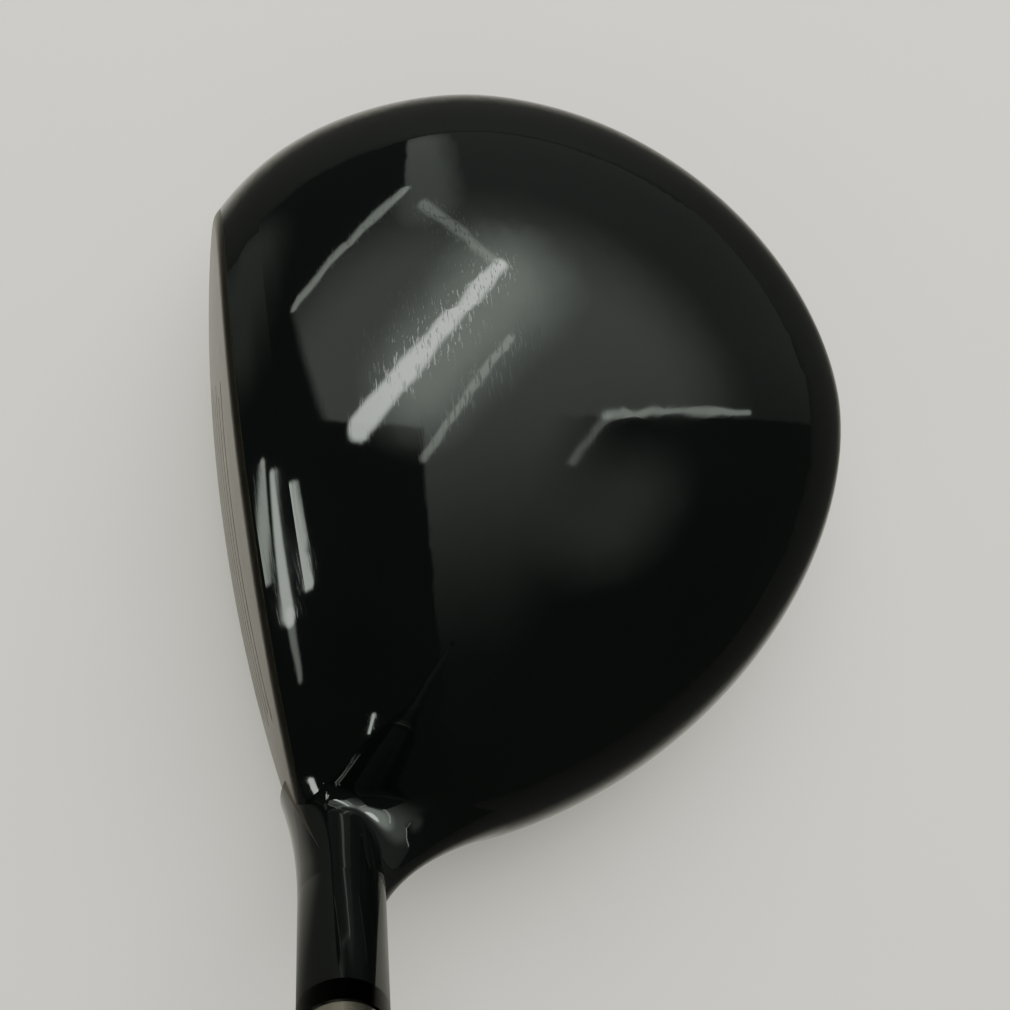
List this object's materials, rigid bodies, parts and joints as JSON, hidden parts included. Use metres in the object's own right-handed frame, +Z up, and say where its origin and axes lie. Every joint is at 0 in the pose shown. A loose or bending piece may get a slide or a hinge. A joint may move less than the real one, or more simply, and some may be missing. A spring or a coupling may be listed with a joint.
{
  "type": "golf driver",
  "caption": "Right-handed golf driver at address: hollow gloss black metal head with a satin striking face, adjustable screwed sleeve, removable rear weight, tapered shaft and rubber grip",
  "frame": {"origin": "the middle of the flat on the sole, where the club touches the ground at address", "axes": "+Z up, +Y from heel to toe, -X towards the target; the shaft leans towards -Y at its lie angle"},
  "size_m": [0.1133, 0.7191, 0.9809],
  "materials": {
    "black_paint": "high gloss",
    "brushed_titanium": "fine brushed satin",
    "bare_titanium": "machined",
    "anodised_aluminium": "anodised satin",
    "black_anodised": "anodised gloss",
    "bare_aluminium": "polished",
    "plated_steel": "plated",
    "black_plastic": "turned and polished",
    "graphite_lacquer": "clear lacquer",
    "epoxy": "cured",
    "hot_melt": "tacky",
    "tape": "paper backed",
    "rubber_grip": "moulded, textured",
    "rubber_black": "moulded"
  },
  "bodies": {
    "head": {"body_casting": "black_paint", "face_plate": "brushed_titanium", "crown_shell": "black_paint", "sole_badge": "anodised_aluminium", "hot_melt_pad": "hot_melt", "rear_weight_port": "bare_titanium", "hosel_screw_washer": "plated_steel"},
    "hosel_screw": {"hosel_screw": "plated_steel", "hosel_screw_retainer": "rubber_black"},
    "shaft_assembly": {"shaft_sleeve": "bare_aluminium", "sleeve_ring": "black_anodised", "ferrule": "black_plastic", "ferrule_band": "bare_aluminium", "shaft": "graphite_lacquer", "shaft_bond": "epoxy", "shaft_tip_plug": "hot_melt", "grip_tape": "tape", "grip": "rubber_grip", "grip_cap": "rubber_grip"},
    "rear_weight": {"rear_weight": "plated_steel", "rear_weight_seal": "rubber_black"},
    "rear_weight_screw": {"rear_weight_screw": "plated_steel"}
  },
  "joints": [
    {"name": "hosel_screw_turn", "type": "hinge", "parent": "head", "child": "hosel_screw", "pos_m": [-0.021, -0.0545, 0.03392], "axis": [0, 0.5299, -0.848], "range_deg": [0, 3600]},
    {"name": "shaft_lift", "type": "slide", "parent": "head", "child": "shaft_assembly", "axis": [0, -0.5299, 0.848], "range_m": [0, 0.008]},
    {"name": "weight_lift", "type": "slide", "parent": "head", "child": "rear_weight", "axis": [0.3746, 0, -0.9272], "range_m": [0, 0.007]},
    {"name": "weight_screw_turn", "type": "hinge", "parent": "rear_weight", "child": "rear_weight_screw", "pos_m": [0.055, 0.001, 0.01132], "axis": [0.3746, 0, -0.9272], "range_deg": [0, 2520]}
  ],
  "couplings": [
    {"joint": "hosel_screw_turn", "follows": "shaft_lift", "rad_per_m": 7854},
    {"joint": "weight_screw_turn", "follows": "weight_lift", "rad_per_m": 6283.2}
  ]
}
